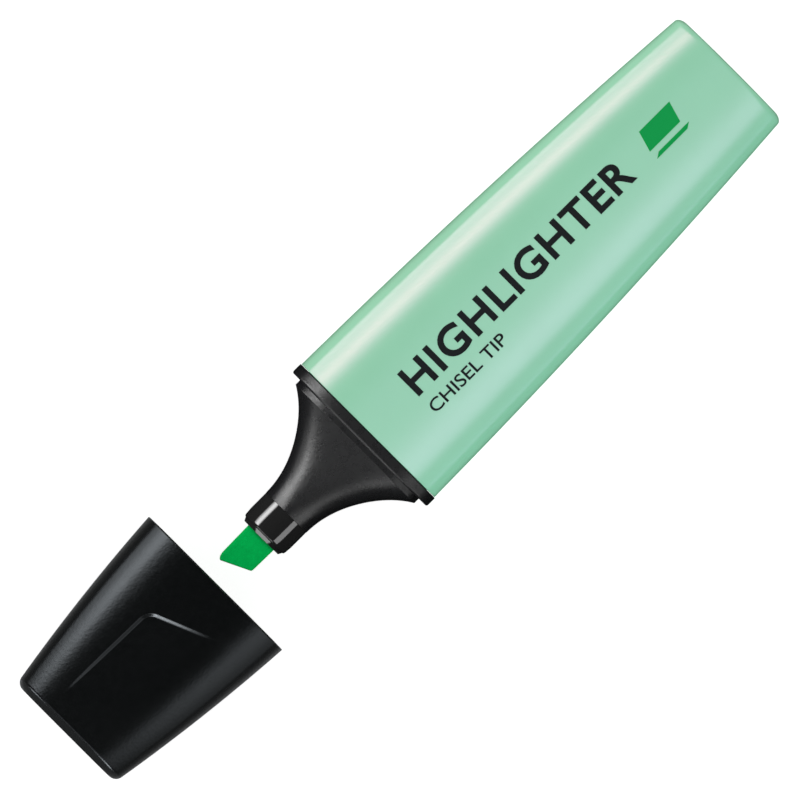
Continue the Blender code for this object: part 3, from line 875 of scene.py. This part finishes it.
def soft_box(
    name, azimuth, profile, half_length, lit, colour=(1.0, 1.0, 1.0), along=0.0, dim_colour=None
):
    """A graded lamp for some pieces, aimed at the pen from one side. azimuth is from +X.
    profile lists (degrees from straight up, radiance) from its top edge to its bottom edge,
    half_length is how far it reaches to each side, in degrees, and along moves it over X.
    Where the lamp is dim, its light leans from colour towards dim_colour."""
    away = 0.7
    tilts = [math.radians(tilt) for tilt, _ in profile]
    middle = (tilts[0] + tilts[-1]) / 2
    places = [away * math.tan(tilt - middle) for tilt in tilts]
    width = places[-1] - places[0]
    length = 2 * away * math.tan(math.radians(half_length))
    most = max(radiance for _, radiance in profile)
    lamp = bpy.data.lights.new(name, "AREA")
    lamp.shape = "RECTANGLE"
    lamp.size, lamp.size_y = length, width
    lamp.energy = most * math.pi * width * length
    lamp.use_nodes = True
    tree = lamp.node_tree
    geometry = tree.nodes.new("ShaderNodeNewGeometry")
    split = tree.nodes.new("ShaderNodeSeparateXYZ")
    ramp = tree.nodes.new("ShaderNodeValToRGB")
    tree.links.new(geometry.outputs["Parametric"], split.inputs["Vector"])
    tree.links.new(split.outputs["Y"], ramp.inputs["Fac"])
    tree.links.new(ramp.outputs["Color"], tree.nodes["Emission"].inputs["Color"])
    stops = ramp.color_ramp.elements
    while len(stops) > 1:
        stops.remove(stops[-1])
    for i, (at, (_, radiance)) in enumerate(zip(reversed(places), reversed(profile))):
        share = (places[-1] - at) / width
        stop = stops[0] if i == 0 else stops.new(share)
        stop.position = share
        level = radiance / most
        shade = Vector(dim_colour or colour).lerp(Vector(colour), level)
        stop.color = (*(shade * level), 1.0)
    made = add_object(name, lamp)
    around = math.radians(azimuth)
    way = Vector(
        (
            math.sin(middle) * math.cos(around),
            math.sin(middle) * math.sin(around),
            math.cos(middle),
        )
    )
    flat = Vector((-math.sin(around), math.cos(around), 0.0))
    turn = Matrix((flat, way.cross(flat), way)).transposed()
    made.matrix_world = Matrix.Translation(way * away + Vector((along, 0, 0))) @ turn.to_4x4()
    made.visible_camera = False
    receivers = bpy.data.collections.new(name + "_lights")
    for piece in lit:
        receivers.objects.link(piece)
    made.light_linking.receiver_collection = receivers
    return made


def make_lights():
    """Even light from all round for colour, and graded boxes whose reflections shape each part."""
    body = [barrel, nib, *prints]
    cool = (0.87, 0.94, 1.0)
    soft_box(
        "barrel_key", 90,
        [
            (12, 0), (16, 0.5), (20, 2.1), (25, 4.3), (31, 6.1), (36, 6.7), (45, 5.2), (52, 4.3),
            (60, 4.1), (70, 4.1), (83, 4.0),
        ],
        12, body, along=0.03, dim_colour=(0.9, 1.0, 1.2),
    )
    soft_box(
        "barrel_fill", -90,
        [
            (-1, 0.4), (2, 1.7), (4.4, 2.5), (8.4, 3.5), (14, 4.1), (22, 3.9), (28, 3.1), (34, 1.7),
            (40, 0.7), (86, 1.2),
        ],
        12, body, (0.6, 0.92, 1.0), along=0.03,
    )
    low_side = soft_box(
        "barrel_low_side", -90, [(72, 5.5), (86, 5.5)], 16, body, (0.45, 1.0, 1.0), 0.03
    )
    low_side.visible_glossy = False
    soft_box(
        "cap_key", 90, [(18, 0), (23.5, 1.4), (30, 4.9), (41, 4.7), (60, 2.2), (78, 1.9)],
        16, [cap], cool, -0.05,
    )
    soft_box(
        "cap_fill", -90, [(19, 0), (23, 1.25), (33, 1.15), (48, 0.9), (67, 0.5), (86, 0.4)],
        16, [cap], cool, -0.05,
    )
    soft_box(
        "cap_glint", 206, [(24, 0), (30, 0.2), (38, 1), (47, 3.2), (53, 5.3), (67, 9), (88, 12)],
        10, [cap], cool, -0.05,
    )
    soft_box("cap_corner_glint", 160, [(68, 2), (76, 9), (89, 11)], 9, [cap], cool, -0.05)
    soft_box("cap_end", 180, [(24, 0.75), (42, 0.75)], 9, [cap], cool, -0.05)
    soft_box(
        "section_key", 90,
        [
            (14, 0), (18, 0.7), (21, 4.6), (25, 13.5), (28, 8), (31, 7), (36, 4), (42, 1.3),
            (60, 0.5), (78, 0.3),
        ],
        7, [section],
    )
    soft_box(
        "section_near_side", 106,
        [(28, 0), (36, 4), (45, 7.8), (54, 9), (64, 7), (73, 4), (81, 3)], 8, [section],
    )
    soft_box(
        "section_far_side", 131,
        [(20, 0), (28, 3), (36, 7), (43, 8.6), (49, 5.2), (56, 2), (70, 1), (90, 0.5)],
        12, [section],
    )
    soft_box(
        "section_fill", -90,
        [(14, 0), (20, 0.8), (24, 3.2), (29, 1.6), (38, 0.7), (46, 0.2), (75, 0.1)], 7, [section],
    )
    soft_box(
        "section_fill_near", -103,
        [(30, 0), (42, 0.8), (52, 1.8), (63, 2.6), (72, 2.1), (85, 1)], 8, [section],
    )
    soft_box(
        "section_fill_far", -126,
        [(28, 0), (36, 0.7), (47, 1.8), (53, 1.3), (62, 0.4), (72, 0)], 14, [section],
    )
    soft_box("section_top", 180, [(5, 0), (14, 0.22), (54, 0.22)], 26, [section])
    soft_box("section_ridge", 151, [(46, 0), (53, 3), (62, 3.6), (70, 2)], 5, [section])
    soft_box("section_ridge_fill", -157, [(44, 0), (52, 2), (64, 2.3), (72, 0.5)], 6, [section])
    soft_box("section_step", 180, [(62, 0), (67, 3.2), (80, 3.2), (86, 0)], 14, [section])
    soft_box("nozzle_key", 90, [(43, 2), (50, 17), (58, 17), (70, 3)], 20, [nozzle])
    soft_box("nozzle_fill", -90, [(47, 4.5), (70, 4.5)], 20, [nozzle])
    soft_box("nozzle_nose", 180, [(46, 0), (50, 6), (69, 6)], 37, [nozzle])
    world = bpy.data.worlds.new("studio")
    bpy.context.scene.world = world
    world.use_nodes = True
    background = world.node_tree.nodes["Background"]
    background.inputs["Color"].default_value = (1.0, 1.0, 1.0, 1.0)
    background.inputs["Strength"].default_value = 0.45
    world.cycles_visibility.glossy = False


def make_camera():
    """Straight above the pen, turned so that the pen runs from lower left to upper right."""
    view_width = 0.1139  # metres across the picture at the height of the pen's axis
    lens, sensor = 1200.0, 36.0
    centre = (0.00014, -0.000125)
    camera = bpy.data.cameras.new("camera")
    camera.lens = lens
    camera.sensor_width = sensor
    camera.clip_end = 20.0
    made = bpy.data.objects.new("camera", camera)
    bpy.context.scene.collection.objects.link(made)
    made.location = (*centre, AXIS_HEIGHT * MM + view_width * lens / sensor)
    made.rotation_euler = (0.0, 0.0, math.radians(-45))
    bpy.context.scene.camera = made


make_floor()
make_lights()
make_camera()
bpy.context.scene.view_settings.view_transform = "Standard"
